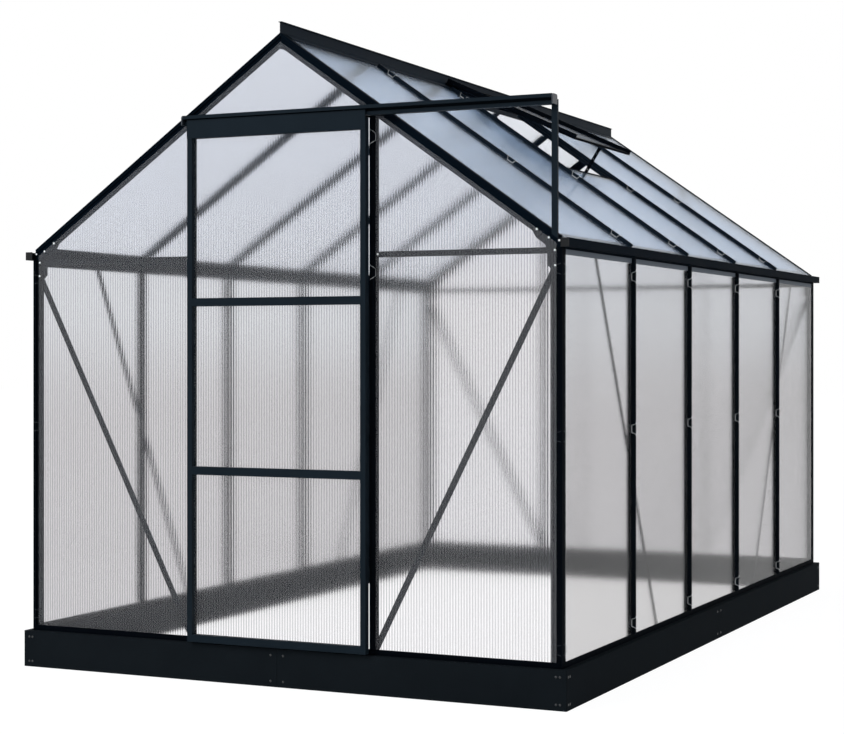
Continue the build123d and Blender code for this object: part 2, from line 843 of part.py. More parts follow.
def vent_cross_bar():
    """Bar between two roof bars that closes the foot of the vent opening."""
    y0, y1 = vent_span()
    edge = flange_width / 2 + fit
    plane = roof_plane(0, 0)
    s0 = vent_length
    upright = sash_box(plane, y0 + edge, y1 - edge, -glazing_setback - channel_depth, 0, s0 - metal, s0)
    ledge = sash_box(plane, y0 + edge, y1 - edge, -glazing_setback - metal, -glazing_setback,
                     s0, s0 + vent_stile)
    return upright + ledge


def vent_stay():
    """Flat stay with a row of holes, from the sash past the cross bar into the house."""
    plane = vent_frame_plane()
    y = sum(vent_span()) / 2
    tip = plane.from_local_coords((0, vent_lift, vent_length - vent_stile / 2))
    down_slope = vent_length - metal - stay_width / 2 - stay_gap
    rest_x = down_slope * cos(pitch) - glazing_setback * sin(pitch)
    rest = Vector(rest_x, 0, roof_z(rest_x, glazing_setback))
    run = (rest - Vector(tip.X, 0, tip.Z)).normalized()
    side = Vector(-run.Z, 0, run.X) * (stay_width / 2)
    start = Vector(tip.X, 0, tip.Z) + run * (stay_width / 2 + fit)
    end = start + run * stay_length
    points = [(p.X, p.Z) for p in (start + side, end + side, end - side, start - side)]
    stay = along_y(points, y - stay_metal / 2, y + stay_metal / 2)
    for k in range(1, stay_holes + 1):
        place = start + run * (stay_length * k / (stay_holes + 1))
        stay -= Pos(place.X, y, place.Z) * Rot(90, 0, 0) * Cylinder(stay_hole / 2, 2 * stay_metal)
    return stay


def both(shapes):
    """A right-hand set of pieces and its left-hand twin."""
    shapes = shapes if isinstance(shapes, list) else [shapes]
    return shapes + [left_of(s) for s in shapes]


def build():
    """All nodes by name."""
    nodes = plinth()
    nodes["base_brackets"] = base_brackets()
    nodes["sills_gable"] = sills_gable()
    nodes["sills_side"] = sills_side()
    nodes["corner_posts"] = corner_posts()
    bar = gable_bar()
    nodes["door_jambs"] = both(bar)
    nodes["rear_mullions"] = [rear_of(b) for b in both(bar)]
    wall_bars = [wall_bar(y) for y in bar_places]
    nodes["wall_bars_right"] = wall_bars
    nodes["wall_bars_left"] = [left_of(b) for b in wall_bars]
    nodes["eave_beam_right"] = eave_beam()
    nodes["eave_beam_left"] = left_of(eave_beam())
    nodes["gutter_caps"] = both(gutter_cap_pair())
    nodes["gable_rafters_front"] = both(gable_rafter())
    nodes["gable_rafters_rear"] = [rear_of(r) for r in both(gable_rafter())]
    roof_bars = [roof_bar(y) for y in bar_places]
    nodes["roof_bars_right"] = roof_bars
    nodes["roof_bars_left"] = [left_of(b) for b in roof_bars]
    nodes["ridge_beam"] = [ridge(), rear_of(ridge())]
    nodes["gussets"] = both([gusset(), rear_of(gusset())])
    rails = both(gable_rails())
    nodes["gable_rails_front"] = rails + [middle_rail(head_level)]
    nodes["gable_rails_rear"] = [rear_of(r) for r in rails + [middle_rail(rail_level)]]
    nodes["gable_braces"] = both([gable_brace(), rear_of(gable_brace())])
    nodes["wall_braces"] = both([wall_brace(), rear_of(wall_brace())])
    nodes["front_sheets"] = front_sheets()
    nodes["rear_sheets"] = rear_sheets()
    nodes["wall_sheets_right"] = wall_sheets()
    nodes["wall_sheets_left"] = [left_of(s) for s in wall_sheets()]
    nodes["roof_sheets_right"] = roof_sheets(True)
    nodes["roof_sheets_left"] = [left_of(s) for s in roof_sheets(False)]
    nodes["vent_cross_bar"] = vent_cross_bar()
    nodes["vent_sash"] = vent_sash()
    nodes["vent_sheet"] = vent_sheet()
    nodes["vent_stay"] = vent_stay()
    nodes["door_track"] = door_track()
    nodes["track_caps"] = track_caps()
    nodes["track_strut"] = track_strut()
    nodes["door_stiles"] = both(door_stile_piece())
    nodes["door_rails"] = door_rails()
    nodes["door_top_plate"] = door_plate()
    nodes["door_sheets"] = door_sheets()
    nodes["door_hangers"] = door_hangers()
    nodes["door_wheels"] = door_wheels()
    nodes["door_guides"] = door_guides()
    return nodes


def solids_of(shape):
    """The separate solids of a node."""
    shapes = shape if isinstance(shape, list) else [shape]
    return [solid for item in shapes for solid in item.solids()]


os.makedirs("parts", exist_ok=True)
for name, shape in build().items():
    node = Compound(children=[Pos(0, shift_y, 0) * solid for solid in solids_of(shape)])
    export_step(node, f"parts/{name}.step")
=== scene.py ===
import bpy
import math
import numpy as np
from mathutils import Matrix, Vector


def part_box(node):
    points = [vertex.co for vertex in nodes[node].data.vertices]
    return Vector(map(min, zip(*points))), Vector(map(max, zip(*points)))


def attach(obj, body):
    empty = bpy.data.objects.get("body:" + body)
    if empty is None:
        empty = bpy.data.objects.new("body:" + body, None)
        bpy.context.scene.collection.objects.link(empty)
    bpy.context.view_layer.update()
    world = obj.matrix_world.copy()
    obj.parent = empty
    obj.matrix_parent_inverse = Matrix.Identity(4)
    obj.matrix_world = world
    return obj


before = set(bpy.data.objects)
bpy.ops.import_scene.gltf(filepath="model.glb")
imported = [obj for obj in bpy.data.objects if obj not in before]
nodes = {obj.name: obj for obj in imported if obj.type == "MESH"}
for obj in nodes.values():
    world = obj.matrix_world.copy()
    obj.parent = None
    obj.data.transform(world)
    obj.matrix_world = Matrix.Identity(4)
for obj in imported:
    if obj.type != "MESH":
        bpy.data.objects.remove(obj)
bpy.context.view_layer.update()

# Where it is seen from: eye level in front of the door gable, to the right of the corner, with the
# upright lines kept upright. The lens sees the whole house with a little air round it.
GABLE_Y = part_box("corner_posts")[0][1]
EYE_RIGHT = 2.92807
EYE_IN_FRONT = 5.22124
EYE_HEIGHT = 1.04814
TURNED_LEFT = 24.994
view_camera = bpy.data.objects.new("view", bpy.data.cameras.new("view"))
view_camera.data.lens = 80.69
view_camera.data.sensor_width = 36.0
view_camera.data.shift_y = -0.01526
view_camera.location = (EYE_RIGHT, GABLE_Y - EYE_IN_FRONT, EYE_HEIGHT)
view_camera.rotation_euler = (math.radians(90), 0, math.radians(TURNED_LEFT))
bpy.context.collection.objects.link(view_camera)
bpy.context.scene.camera = view_camera

# The room round it: a plain white floor, a white surround and two large soft lamps, one high on the
# left of the door gable and one on the right, so each coated face keeps its own tone.
LAMP_SIZE = 5.0
LAMP_AIM = (0, 0, 0.8)
DAYLIGHT = (0.88, 0.94, 1.0)
FLOOR_REACH = 40.0
FLOOR_GLOW = 0.85


def feed(tree, node, inputs):
    """Fills a node's inputs, each with a plain value or with a link from the output given for it."""
    for socket, value in inputs.items():
        if isinstance(value, bpy.types.NodeSocket):
            tree.links.new(value, node.inputs[socket])
        else:
            node.inputs[socket].default_value = value
    return node


def step(tree, kind, inputs, **settings):
    """A new node of one kind, with its settings made and then its inputs filled."""
    node = tree.nodes.new(kind)
    for name, value in settings.items():
        setattr(node, name, value)
    return feed(tree, node, inputs)


def in_plain_view(tree):
    """One where it is seen by the camera, in a gloss or through a sheet, and otherwise zero."""
    rays = tree.nodes.new("ShaderNodeLightPath")
    outright = step(tree, "ShaderNodeMath", {0: rays.outputs["Is Camera Ray"],
                                             1: rays.outputs["Is Glossy Ray"]}, operation="MAXIMUM")
    return step(tree, "ShaderNodeMath", {0: outright.outputs[0], 1: rays.outputs["Is Transmission Ray"]},
                operation="MAXIMUM").outputs[0]


def lamp(name, place, watts):
    """A square soft lamp at place, turned to face the middle of the house."""
    data = bpy.data.lights.new(name, "AREA")
    data.size = LAMP_SIZE
    data.energy = watts
    data.color = DAYLIGHT
    obj = bpy.data.objects.new(name, data)
    away = np.array(place) - np.array(LAMP_AIM)
    level = math.hypot(away[0], away[1])
    obj.location = place
    obj.rotation_euler = (math.atan2(level, away[2]), 0, math.atan2(away[0], -away[1]))
    bpy.context.collection.objects.link(obj)


bpy.context.scene.view_settings.view_transform = "Standard"
surround = bpy.data.worlds.new("surround")
bpy.context.scene.world = surround
surround.use_nodes = True
tree = surround.node_tree
tree.nodes.clear()
seen = in_plain_view(tree)
soft = step(tree, "ShaderNodeBackground", {"Color": (0.86, 0.92, 1.0, 1), "Strength": 0.45})
white = step(tree, "ShaderNodeBackground", {"Color": (1, 1, 1, 1), "Strength": 1.0})
either = step(tree, "ShaderNodeMixShader", {0: seen, 1: soft.outputs[0], 2: white.outputs[0]})
step(tree, "ShaderNodeOutputWorld", {0: either.outputs[0]})

lamp("lamp_left", place=(-5.0, -8.0, 6.5), watts=470)
lamp("lamp_right", place=(8.0, -1.0, 5.5), watts=40)

floor_mesh = bpy.data.meshes.new("floor")
floor_mesh.from_pydata([(-FLOOR_REACH, -FLOOR_REACH, 0), (FLOOR_REACH, -FLOOR_REACH, 0),
                        (FLOOR_REACH, FLOOR_REACH, 0), (-FLOOR_REACH, FLOOR_REACH, 0)],
                       [], [(0, 1, 2, 3)])
floor = bpy.data.objects.new("floor", floor_mesh)
bpy.context.collection.objects.link(floor)
floor_paint = bpy.data.materials.new("white floor")
floor_paint.use_nodes = True
tree = floor_paint.node_tree
matt = feed(tree, tree.nodes["Principled BSDF"],
            {"Base Color": (0.88, 0.88, 0.88, 1), "Roughness": 0.9, "Specular IOR Level": 0.0})
share = step(tree, "ShaderNodeMath", {0: in_plain_view(tree), 1: FLOOR_GLOW}, operation="MULTIPLY")
bright = step(tree, "ShaderNodeEmission", {"Strength": 1.12})
either = step(tree, "ShaderNodeMixShader", {0: share.outputs[0], 1: matt.outputs[0],
                                            2: bright.outputs[0]})
feed(tree, tree.nodes["Material Output"], {"Surface": either.outputs[0]})
floor_mesh.materials.append(floor_paint)


# The plinth: lengths of sheet steel folded to a channel, powder coated dark grey, bolted to plates
# behind their seams and to angles in the corners. It stands flat on the ground.
def powder_group():
    """Powder coat as a group: fine grain as a height, and slow drifts of tone and sheen.

    Colour is the given Colour times 1 plus a slow noise from -1 to 1 times Drift. Roughness is the
    given one plus 0.4 times that same drift. Normal is a bump of a fine noise, the orange peel of the
    baked coat, as strong as Grain."""
    group = bpy.data.node_groups.new("powder coat", "ShaderNodeTree")
    for label, kind in (("Colour", "Color"), ("Roughness", "Float"), ("Drift", "Float"),
                        ("Grain", "Float")):
        group.interface.new_socket(label, in_out="INPUT", socket_type="NodeSocket" + kind)
    for label, kind in (("Colour", "Color"), ("Roughness", "Float"), ("Normal", "Vector")):
        group.interface.new_socket(label, in_out="OUTPUT", socket_type="NodeSocket" + kind)
    given = group.nodes.new("NodeGroupInput").outputs
    place = group.nodes.new("ShaderNodeTexCoord").outputs["Object"]
    slow = step(group, "ShaderNodeTexNoise", {"Vector": place, "Scale": 6.0, "Detail": 4.0})
    spread = step(group, "ShaderNodeMapRange", {"Value": slow.outputs["Fac"], "From Min": 0.3,
                                                "From Max": 0.7, "To Min": -1.0})
    drift = step(group, "ShaderNodeMath", {0: spread.outputs["Result"], 1: given["Drift"]},
                 operation="MULTIPLY")
    share = step(group, "ShaderNodeMath", {0: drift.outputs[0], 1: 1.0}, operation="ADD")
    tone = step(group, "ShaderNodeVectorMath", {0: given["Colour"], "Scale": share.outputs[0]},
                operation="SCALE")
    sheen = step(group, "ShaderNodeMath", {0: drift.outputs[0], 1: 0.4, 2: given["Roughness"]},
                 operation="MULTIPLY_ADD")
    fine = step(group, "ShaderNodeTexNoise", {"Vector": place, "Scale": 700.0, "Detail": 2.0})
    peel = step(group, "ShaderNodeBump", {"Distance": 0.0004, "Strength": given["Grain"],
                                          "Height": fine.outputs["Fac"]})
    step(group, "NodeGroupOutput", {"Colour": tone.outputs[0], "Roughness": sheen.outputs[0],
                                    "Normal": peel.outputs["Normal"]})
    return group


POWDER = powder_group()


def coated(name, colour, roughness, gloss, drift=0.1, grain=0.1):
    """A coat in one colour. Gloss is how far it bends light: near 1 it is matt and its rim stays dark."""
    material = bpy.data.materials.new(name)
    material.use_nodes = True
    tree = material.node_tree
    coat = step(tree, "ShaderNodeGroup", {"Colour": (*colour, 1), "Roughness": roughness,
                                          "Drift": drift, "Grain": grain}, node_tree=POWDER)
    feed(tree, tree.nodes["Principled BSDF"],
         {"IOR": gloss, "Base Color": coat.outputs["Colour"], "Roughness": coat.outputs["Roughness"],
          "Normal": coat.outputs["Normal"]})
    return material


def finish(material, *names):
    """Gives the named CAD pieces one material."""
    for name in names:
        slots = nodes[name].data.materials
        slots.clear()
        slots.append(material)


plinth_coat = coated("plinth coat", (0.0115, 0.0145, 0.0170), roughness=0.5, gloss=1.02)
finish(plinth_coat, "base_front", "base_rear", "base_left", "base_right", "base_brackets")

# The sills and uprights: aluminium extrusions, cut to length, coated near black and bolted through
# their channels. Posts stand at the corners, jambs beside the doorway and bars between the sheets.
frame_coat = coated("frame coat", (0.0030, 0.0044, 0.0066), roughness=0.45, gloss=1.03)
finish(frame_coat, "sills_gable", "sills_side", "corner_posts", "door_jambs", "rear_mullions")
bar_coat = coated("bar coat", (0.0075, 0.0105, 0.0140), roughness=0.45, gloss=1.05)
finish(bar_coat, "wall_bars_left", "wall_bars_right")

# The stiffeners: gusset plates and flat straps that run aslant, and angle rails across the gables, all
# of aluminium with the coat of the bars. They are bolted behind the sheets and keep the frame square.
finish(bar_coat, "gussets", "gable_rails_front", "gable_rails_rear", "gable_braces", "wall_braces")

# The eaves and the roof: a beam with its gutter along each side, rafters on the gables, and bars from
# the eaves up to the ridge beam. All are extrusions. The ridge and its bars have a lighter, bluer copy
# of the coat: a painted sheen.
eave_coat = coated("eave coat", (0.0032, 0.0066, 0.0112), roughness=0.45, gloss=1.03)
finish(eave_coat, "gable_rafters_front", "gable_rafters_rear", "eave_beam_left", "eave_beam_right")
# Painted sheen: a lighter, bluer copy of the dark coat, for the light the ridge catches.
ridge_painted_sheen = coated("ridge coat with painted sheen", (0.0115, 0.0185, 0.0275), roughness=0.45, gloss=1.08)
finish(ridge_painted_sheen, "ridge_beam", "roof_bars_left", "roof_bars_right")

# The vent's frame: a sash of thin aluminium extrusions, hinged at the ridge. A stay holds it open
# over the cross bar, which lies between two roof bars and closes the foot of the opening.
finish(frame_coat, "vent_cross_bar", "vent_sash", "vent_stay")

# The door and its header: extruded stiles and rails under a folded top plate, which hangs from the
# track by two small plates. An angle strut carries the free end of the track off the rafter.
# The door parts have a lighter, bluer copy of the frame coat: a painted reflection of the bright
# surround.
door_painted_sheen_coat = coated("door coat with painted sheen", (0.0110, 0.0175, 0.0235), roughness=0.45, gloss=1.10)
finish(door_painted_sheen_coat, "door_track", "track_strut", "door_stiles", "door_rails", "door_top_plate")
finish(frame_coat, "door_hangers")

# The moulded fittings: black caps on the ends of the gutters, black wheels and foot guides on the
# door, and paler caps on the ends of the track. They are plastic, coloured right through.
moulded = coated("moulded black", (0.003, 0.0035, 0.004), roughness=0.55, gloss=1.3)
finish(moulded, "gutter_caps", "door_wheels", "door_guides")
cap_grey = coated("moulded grey", (0.022, 0.028, 0.037), roughness=0.4, gloss=1.45)
finish(cap_grey, "track_caps")

# The sheets: clear plastic drawn as two thin skins joined by fine ribs, which run up the walls and down
# the slopes. They lie on the flanges of the bars. Each rib bends the light like a small lens, so near
# things break into a comb and far things blur away.
RIB_PITCH = 0.0093
VEIL_START = 1.2
VEIL_FULL = 1.7
# Heights of the painted shade low on the side sheets: none above the first, full below the second.
LOW_SHADE_START = 1.25
LOW_SHADE_FULL = 0.8


def rib_group():
    """Ribs of a twin-wall sheet. Across is the place across the ribs in metres.

    The wave is a half plus half the cosine of a turn for each Pitch of Across. Colour goes from Clear
    to Rib by the cube of the wave, which keeps the rib narrow. Normal is a bump of the wave."""
    group = bpy.data.node_groups.new("twin wall ribs", "ShaderNodeTree")
    for label, kind in (("Across", "Float"), ("Pitch", "Float"), ("Clear", "Color"), ("Rib", "Color"),
                        ("Depth", "Float")):
        group.interface.new_socket(label, in_out="INPUT", socket_type="NodeSocket" + kind)
    for label, kind in (("Colour", "Color"), ("Normal", "Vector")):
        group.interface.new_socket(label, in_out="OUTPUT", socket_type="NodeSocket" + kind)
    given = group.nodes.new("NodeGroupInput").outputs
    turns = step(group, "ShaderNodeMath", {0: given["Across"], 1: given["Pitch"]}, operation="DIVIDE")
    angle = step(group, "ShaderNodeMath", {0: turns.outputs[0], 1: 2 * math.pi}, operation="MULTIPLY")
    cosine = step(group, "ShaderNodeMath", {0: angle.outputs[0]}, operation="COSINE")
    wave = step(group, "ShaderNodeMath", {0: cosine.outputs[0], 1: 0.5, 2: 0.5},
                operation="MULTIPLY_ADD")
    narrow = step(group, "ShaderNodeMath", {0: wave.outputs[0], 1: 3.0}, operation="POWER")
    tint = step(group, "ShaderNodeMix", {"Factor": narrow.outputs[0], 6: given["Clear"],
                                         7: given["Rib"]}, data_type="RGBA")
    bend = step(group, "ShaderNodeBump", {"Strength": 1.0, "Distance": given["Depth"],
                                          "Height": wave.outputs[0]})
    step(group, "NodeGroupOutput", {"Colour": tint.outputs[2], "Normal": bend.outputs["Normal"]})
    return group


RIBS = rib_group()


def by_height(tree, height, start, full):
    """Zero at the height start and one at the height full, with a smooth change between them."""
    return step(tree, "ShaderNodeMapRange", {"Value": height, "From Min": start, "From Max": full},
                interpolation_type="SMOOTHSTEP").outputs["Result"]


def blend(tree, amount, first, second, mode="MIX"):
    """Colour first, mixed with or multiplied by colour second by the amount."""
    return step(tree, "ShaderNodeMix", {"Factor": amount, 6: first, 7: second},
                data_type="RGBA", blend_type=mode).outputs[2]


def twin_wall(name, across, clear, rib, slant, roughness, depth, clarity, bend=1.12, painted_sky_side=False,
              painted_low_shade=None, veil=None):
    """Twin-wall sheet material, with its ribs spaced along the axis across.

    Seen at a slant, light crosses more ribs, so the colour is multiplied by slant there. The sky flag is
    for the roof: with it the slant holds only for faces that look up, and not from underneath, and there
    it is a painted reflection of the sky. The low tone is painted shade: below a height the colour is
    multiplied by it, darker and warmer towards the bottom. Veil is the even tone that the ribs fade into
    high on it."""
    material = bpy.data.materials.new(name)
    material.use_nodes = True
    tree = material.node_tree
    place = tree.nodes.new("ShaderNodeTexCoord").outputs["Object"]
    parts = step(tree, "ShaderNodeSeparateXYZ", {0: place}).outputs
    clear = (*clear, 1)
    rib = (*rib, 1)
    if veil:
        climb = by_height(tree, parts["Z"], VEIL_START, VEIL_FULL)
        clear = blend(tree, climb, clear, (*veil, 1))
        rib = blend(tree, climb, rib, (*veil, 1))
    ribs = step(tree, "ShaderNodeGroup", {"Across": parts[across], "Pitch": RIB_PITCH, "Clear": clear,
                                          "Rib": rib, "Depth": depth}, node_tree=RIBS)
    amount = step(tree, "ShaderNodeLayerWeight", {"Blend": 0.5}).outputs["Facing"]
    # Painted reflection of the sky: the slant colour is used only on faces that look up.
    if painted_sky_side:
        face = tree.nodes.new("ShaderNodeNewGeometry").outputs["True Normal"]
        rise = step(tree, "ShaderNodeSeparateXYZ", {0: face}).outputs["Z"]
        upward = step(tree, "ShaderNodeMath", {0: rise, 1: 0.0}, operation="GREATER_THAN")
        amount = step(tree, "ShaderNodeMath", {0: amount, 1: upward.outputs[0]},
                      operation="MULTIPLY").outputs[0]
    shade = blend(tree, amount, ribs.outputs["Colour"], (*slant, 1), "MULTIPLY")
    # Painted shade: darker and warmer towards the bottom of the sheet.
    if painted_low_shade:
        low = by_height(tree, parts["Z"], LOW_SHADE_START, LOW_SHADE_FULL)
        shade = blend(tree, low, shade, (*painted_low_shade, 1), "MULTIPLY")
    feed(tree, tree.nodes["Principled BSDF"],
         {"Transmission Weight": clarity, "IOR": bend, "Roughness": roughness, "Base Color": shade,
          "Normal": ribs.outputs["Normal"]})
    return material


gable_sheet = twin_wall("gable sheet", across="X", clear=(0.975, 0.967, 0.975), rib=(0.60, 0.595, 0.615),
                        slant=(0.72, 0.72, 0.73), roughness=0.15, depth=0.00015, clarity=0.952,
                        veil=(0.81, 0.82, 0.86))
finish(gable_sheet, "front_sheets", "rear_sheets", "door_sheets")
# The side sheets get painted shade low down, darker and warmer towards the bottom.
side_sheet = twin_wall("side sheet", across="Y", clear=(0.96, 0.98, 1.0), rib=(0.84, 0.86, 0.89),
                       slant=(0.60, 0.605, 0.615), roughness=0.10, depth=0.00015, clarity=0.98,
                       painted_low_shade=(0.855, 0.82, 0.80))
finish(side_sheet, "wall_sheets_left", "wall_sheets_right")
# The roof's blue at a slant, only on faces that look up, is a painted reflection of the sky.
roof_sheet = twin_wall("roof sheet", across="Y", clear=(0.94, 0.965, 1.0), rib=(0.85, 0.89, 0.97),
                       slant=(0.54, 0.74, 1.0), roughness=0.18, depth=0.0003, clarity=0.97,
                       painted_sky_side=True)
finish(roof_sheet, "roof_sheets_left", "roof_sheets_right")
vent_sheet = twin_wall("vent sheet", across="Y", clear=(0.50, 0.60, 0.72), rib=(0.38, 0.45, 0.53),
                       slant=(0.10, 0.14, 0.19), roughness=0.2, depth=0.0004, clarity=0.97, bend=1.03)
finish(vent_sheet, "vent_sheet")

# The edge tape: dull grey tape along the top edges of the side sheets, under the gutter, which keeps
# dirt and damp out of their open channels.
BARS_A_SIDE = 4
BAR_HALF_WIDTH = 0.016
TAPE_TO_BAR = 0.0055
TAPE_THICKNESS = 0.0004
TAPE_FOOT_DROP = 0.020
TAPE_TOP_DROP = 0.0015


def on_house(name, points, faces):
    """A piece of the house from its points and faces, in metres in the shared frame."""
    mesh = bpy.data.meshes.new(name)
    mesh.from_pydata(points.reshape(-1, 3).tolist(), [], faces)
    obj = bpy.data.objects.new(name, mesh)
    bpy.context.collection.objects.link(obj)
    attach(obj, "house")
    return obj


def slabs(name, lows, highs):
    """Boxes, one for each row of lows and highs: each corner takes its x, y and z from one or other."""
    pick = np.array([[i & 1, i >> 1 & 1, i >> 2 & 1] for i in range(8)])
    corners = np.where(pick[None], highs[:, None], lows[:, None])
    sides = np.array([[0, 2, 3, 1], [4, 5, 7, 6], [0, 1, 5, 4], [2, 6, 7, 3], [0, 4, 6, 2], [1, 3, 7, 5]])
    faces = (sides[None] + 8 * np.arange(len(corners))[:, None, None]).reshape(-1, 4)
    return on_house(name, corners, faces.tolist())


to_left = np.array([-1.0, 1, 1])
bars_low, bars_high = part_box("wall_bars_right")
bar_places = np.linspace(bars_low[1] + BAR_HALF_WIDTH, bars_high[1] - BAR_HALF_WIDTH, BARS_A_SIDE)
wall_low, wall_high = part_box("wall_sheets_right")
starts = np.append(wall_low[1], bar_places + TAPE_TO_BAR)
ends = np.append(bar_places - TAPE_TO_BAR, wall_high[1])
face_x = wall_high[0]
top = wall_high[2]
rows = len(starts)
right_low = np.stack([np.full(rows, face_x), starts, np.full(rows, top - TAPE_FOOT_DROP)], 1)
right_high = np.stack([np.full(rows, face_x + TAPE_THICKNESS), ends,
                       np.full(rows, top - TAPE_TOP_DROP)], 1)
left_low = np.where(to_left < 0, -right_high, right_low)
left_high = np.where(to_left < 0, -right_low, right_high)
edge_tape = slabs("edge_tape", np.concatenate([right_low, left_low]),
                  np.concatenate([right_high, left_high]))
tape_grey = coated("tape grey", (0.13, 0.152, 0.178), roughness=0.6, gloss=1.3, drift=0.05, grain=0.2)
edge_tape.data.materials.append(tape_grey)

# The glazing clips: bare spring wire bent to a bow. Its ends lie on one sheet and its middle on the
# next, and it crosses over the nose of the bar between them, so it presses both to the flange.
CLIP_WIRE = 0.0008
ON_SHEET = CLIP_WIRE + 0.0001
ON_NOSE = 0.0118 + ON_SHEET
NOSE_EDGE = ON_NOSE - 0.002
SHEET_INSET = 0.0023
CLIP_HEIGHTS = np.array([0.175, 0.805, 1.300])
ROOF_CLIP_REACH = np.array([0.075, 0.520, 0.886])
ROOF_PITCH = math.radians(35.2)
RIDGE_UPSTAND = 0.035
JAMB_X = 0.328
JAMB_CLIP_HEIGHTS = np.array([1.300, 1.718])


def wires(name, path, places, across, along, out, radius):
    """Copies of one bent wire with four flat sides.

    Path has rows across, out and along in metres. Each point of a copy is its place plus the path's
    three steps times the vectors across, out and along of that copy, which are one metre long unless
    the copy is drawn wider. The four corners of a section stand off the path by the radius, square to
    its direction."""
    run = np.gradient(path, axis=0)
    run /= np.linalg.norm(run, axis=1)[:, None]
    lean = np.array([0.31, 0.64, 0.70])
    first = np.cross(run, lean)
    first /= np.linalg.norm(first, axis=1)[:, None]
    second = np.cross(run, first)
    turn = np.arange(4) * np.pi / 2
    ring = first[:, None] * np.cos(turn)[None, :, None] + second[:, None] * np.sin(turn)[None, :, None]
    tube = (path[:, None] + radius * ring).reshape(-1, 3)
    points = (places[:, None] + tube[None, :, :1] * across[:, None] + tube[None, :, 1:2] * out[:, None]
              + tube[None, :, 2:] * along[:, None])
    level = np.arange(len(path) - 1)[:, None] * 4
    side = np.arange(4)[None, :]
    after = (side + 1) % 4
    quads = np.stack([level + side, level + after, level + after + 4, level + side + 4], -1)
    quads = quads.reshape(-1, 4)
    faces = (quads[None] + len(tube) * np.arange(len(points))[:, None, None]).reshape(-1, 4)
    return on_house(name, points, faces.tolist())


def there_and_back(half):
    """A wire's path from its first half, whose mirror image along the bar follows it."""
    return np.concatenate([half, half[::-1] * [1, 1, -1]])


def rows_of(vector, count):
    """The same vector in each of count rows."""
    return np.tile(vector, (count, 1))


def both_sides(rows):
    """The rows for the right side of the house, and then their mirror image on the left."""
    return np.concatenate([rows, rows * to_left])


def bare(name, colour, roughness):
    """Bare drawn metal: full metal with a fine drift of roughness, as rolled and rubbed wire has."""
    material = coated(name, colour, roughness, gloss=1.5, drift=0.12, grain=0.05)
    material.node_tree.nodes["Principled BSDF"].inputs["Metallic"].default_value = 1.0
    return material


X = np.array([1.0, 0, 0])
Y = np.array([0, 1.0, 0])
Z = np.array([0, 0, 1.0])
across = np.array([-10.0, -8.0, -6.2, -5.8, -4.0, 0.0, 4.0, 5.8, 6.2, 7.2]) / 1000
out = np.array([ON_SHEET, ON_SHEET, ON_SHEET, NOSE_EDGE, ON_NOSE, ON_NOSE, ON_NOSE, NOSE_EDGE, ON_SHEET,
                ON_SHEET])
along = np.array([-31, -29, -26, -23, -21, -19, -17, -15, -12, -10]) / 1000
bow = there_and_back(np.stack([across, out, along], 1))

grid_y, grid_z = [g.ravel() for g in np.meshgrid(bar_places, CLIP_HEIGHTS)]
count = len(grid_y)
right = np.stack([np.full(count, face_x), grid_y, grid_z], 1)
wall_clips = wires("wall_clips", bow, both_sides(right), rows_of(-Y, 2 * count), rows_of(Z, 2 * count),
                   both_sides(rows_of(X, count)), CLIP_WIRE)

roof_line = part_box("ridge_beam")[1][2] - RIDGE_UPSTAND
down = np.array([math.cos(ROOF_PITCH), 0, -math.sin(ROOF_PITCH)])
up = np.array([math.sin(ROOF_PITCH), 0, math.cos(ROOF_PITCH)])
grid_y, grid_x = [g.ravel() for g in np.meshgrid(bar_places, ROOF_CLIP_REACH)]
level = roof_line - SHEET_INSET / math.cos(ROOF_PITCH) - grid_x * math.tan(ROOF_PITCH)
right = np.stack([grid_x, grid_y, level], 1)
roof_clips = wires("roof_clips", bow, both_sides(right), rows_of(-Y, 2 * count),
                   both_sides(rows_of(down, count)), both_sides(rows_of(up, count)), CLIP_WIRE)

front_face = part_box("front_sheets")[0][1]
rear_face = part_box("rear_sheets")[1][1]
front = np.array([[JAMB_X, front_face, z] for z in JAMB_CLIP_HEIGHTS])
rear = np.array([[JAMB_X, rear_face, z] for z in CLIP_HEIGHTS])
places = np.concatenate([both_sides(front), both_sides(rear)])
acrosses = np.concatenate([both_sides(rows_of(X, len(front))), both_sides(rows_of(X, len(rear)))])
outs = np.concatenate([rows_of(-Y, 2 * len(front)), rows_of(Y, 2 * len(rear))])
gable_clips = wires("gable_clips", bow, places, acrosses, rows_of(Z, len(places)), outs, CLIP_WIRE)

wire_steel = bare("wire steel", (0.52, 0.54, 0.56), roughness=0.35)
for piece in (wall_clips, roof_clips, gable_clips):
    piece.data.materials.append(wire_steel)

# The corner clips: thinner bare wire bent to a hook. At each of three heights every corner post has
# one on its gable and one on its side, over the post's edge and down to the sheet beside it.
CORNER_WIRE = 0.0004
CORNER_FROM_SIDE = 0.005
CORNER_FROM_GABLE = 0.01225
SIDE_STRETCH = 1.3
hook = there_and_back(np.array([[0, 1.9, 17], [0, 2.3, 16], [-1, 3.3, 15], [-9.5, 3.3, 13],
                                [-15, 0.9, 12], [-19, 0.9, 10], [-20, 0.9, 5]]) / 1000)
post_low, post_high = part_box("corner_posts")
corners = np.array([[1, -1], [-1, -1], [1, 1], [-1, 1]])
middle = np.array([0, (post_low[1] + post_high[1]) / 2])
reach = np.array([post_high[0], (post_high[1] - post_low[1]) / 2])
on_gable = middle + corners * (reach - [CORNER_FROM_SIDE, SHEET_INSET])
on_side = middle + corners * (reach - [SHEET_INSET, CORNER_FROM_GABLE])
places = np.concatenate([np.column_stack([on, np.full(len(corners), z)])
                         for z in CLIP_HEIGHTS for on in (on_gable, on_side)])
toward_x = corners[:, :1] * X
toward_y = corners[:, 1:] * Y
acrosses = rows_of(np.concatenate([toward_x, SIDE_STRETCH * toward_y]), len(CLIP_HEIGHTS))
